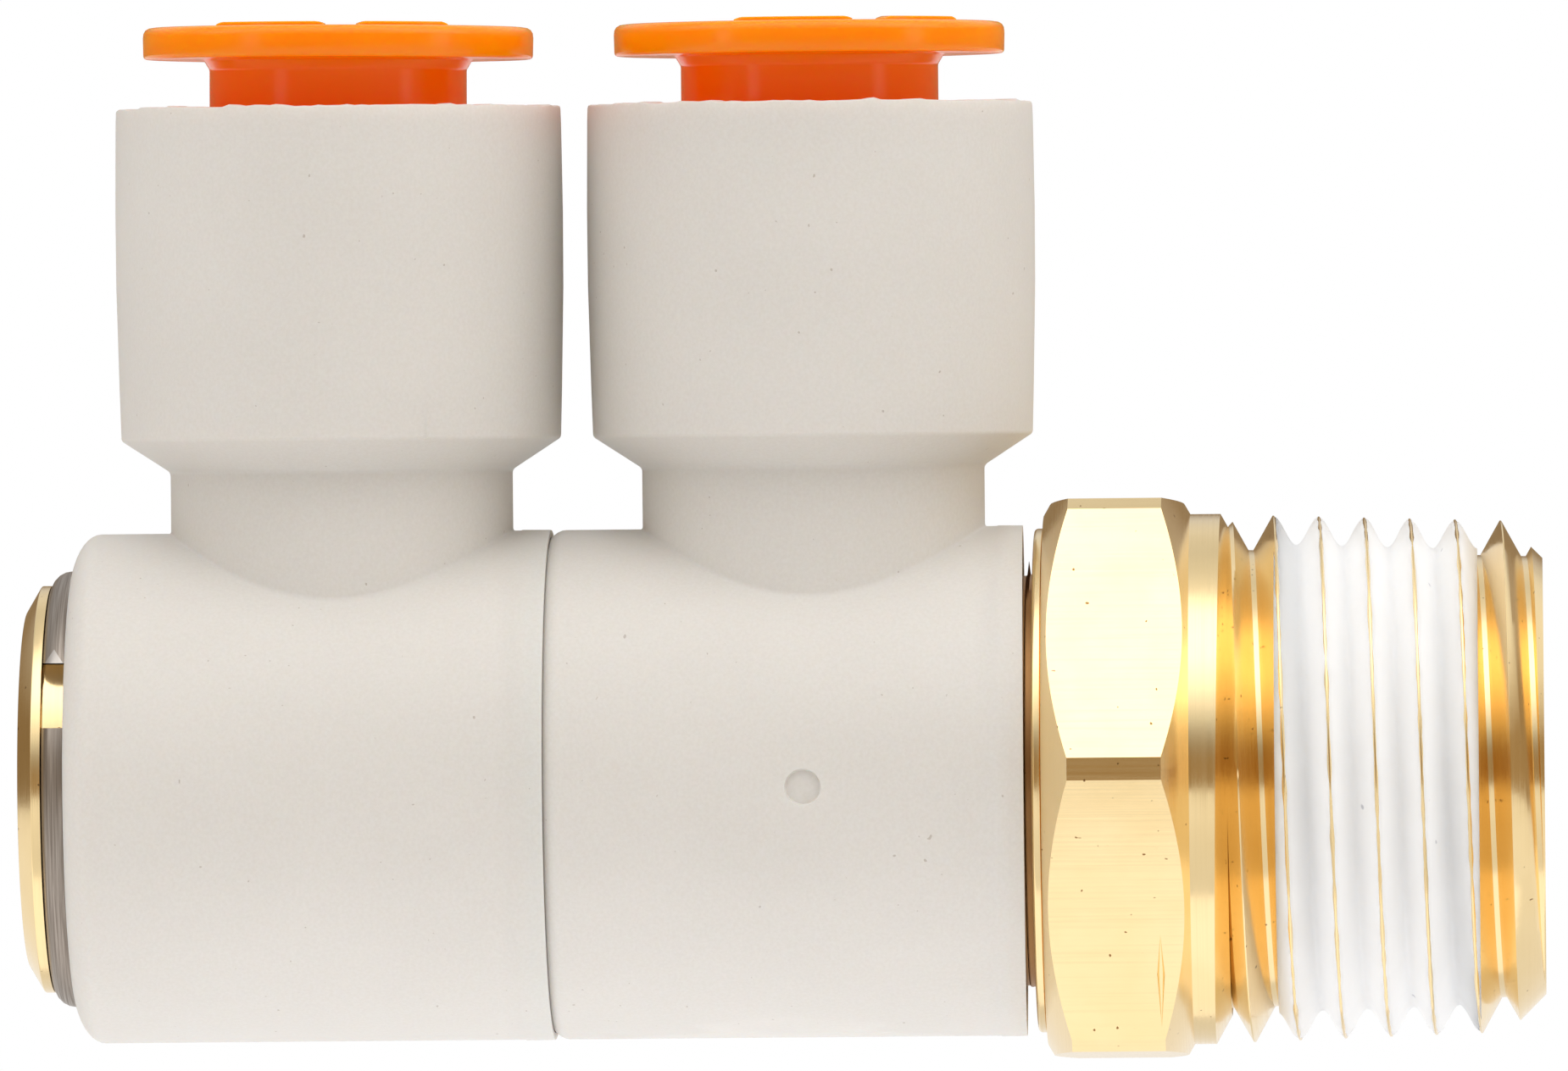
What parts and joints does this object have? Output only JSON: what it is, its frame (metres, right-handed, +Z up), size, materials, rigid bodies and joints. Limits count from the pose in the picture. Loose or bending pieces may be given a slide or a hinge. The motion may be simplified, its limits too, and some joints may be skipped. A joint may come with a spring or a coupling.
{
  "type": "double swivel elbow push-fit coupling",
  "caption": "Push-fit pneumatic coupling: two swivelling plastic elbows with orange release buttons, stacked on a hollow brass stud with a hexagon and a taper pipe thread.",
  "frame": {"origin": "On the stud's axis, at the face of the hexagon that the thread starts from: the thread holds the part.", "axes": "+X runs along the stud towards the free end of the thread. +Z runs up the two tube sockets at rest. +Y completes the right-handed set."},
  "size_m": [0.0607, 0.0248, 0.0418],
  "materials": {
    "brass": "turned, bright, with fine tool lines",
    "sealant": "dry white thread sealant, chalky",
    "spring_steel": "dark drawn wire",
    "black_rubber": "smooth moulded nitrile",
    "body_plastic": "fine matt moulded polyester",
    "white_plastic": "smooth acetal",
    "stainless": "pressed, bright",
    "orange_plastic": "semi-gloss acetal"
  },
  "bodies": {
    "stud": {"stud": "brass", "thread_sealant": "sealant", "retaining_ring": "spring_steel", "o_ring_1": "black_rubber", "o_ring_2": "black_rubber", "o_ring_3": "black_rubber", "o_ring_4": "black_rubber"},
    "elbow_1": {"elbow_body_1": "body_plastic", "tube_seal_1": "black_rubber", "seal_spacer_1": "white_plastic", "grab_ring_1": "stainless", "collet_1": "white_plastic", "guide_sleeve_1": "stainless"},
    "button_1": {"release_button_1": "orange_plastic"},
    "elbow_2": {"elbow_body_2": "body_plastic", "tube_seal_2": "black_rubber", "seal_spacer_2": "white_plastic", "grab_ring_2": "stainless", "collet_2": "white_plastic", "guide_sleeve_2": "stainless"},
    "button_2": {"release_button_2": "orange_plastic"}
  },
  "joints": [
    {"name": "elbow_1_swivel", "type": "hinge", "parent": "stud", "child": "elbow_1", "pos_m": [-0.03397, 0, 0], "axis": [1, 0, 0], "continuous": true},
    {"name": "button_1_press", "type": "slide", "parent": "elbow_1", "child": "button_1", "axis": [0, 0, -1], "range_m": [0, 0.0015], "stiffness_N_per_m": 400},
    {"name": "elbow_2_swivel", "type": "hinge", "parent": "stud", "child": "elbow_2", "pos_m": [-0.01507, 0, 0], "axis": [1, 0, 0], "continuous": true},
    {"name": "button_2_press", "type": "slide", "parent": "elbow_2", "child": "button_2", "axis": [0, 0, -1], "range_m": [0, 0.0015], "stiffness_N_per_m": 400}
  ]
}
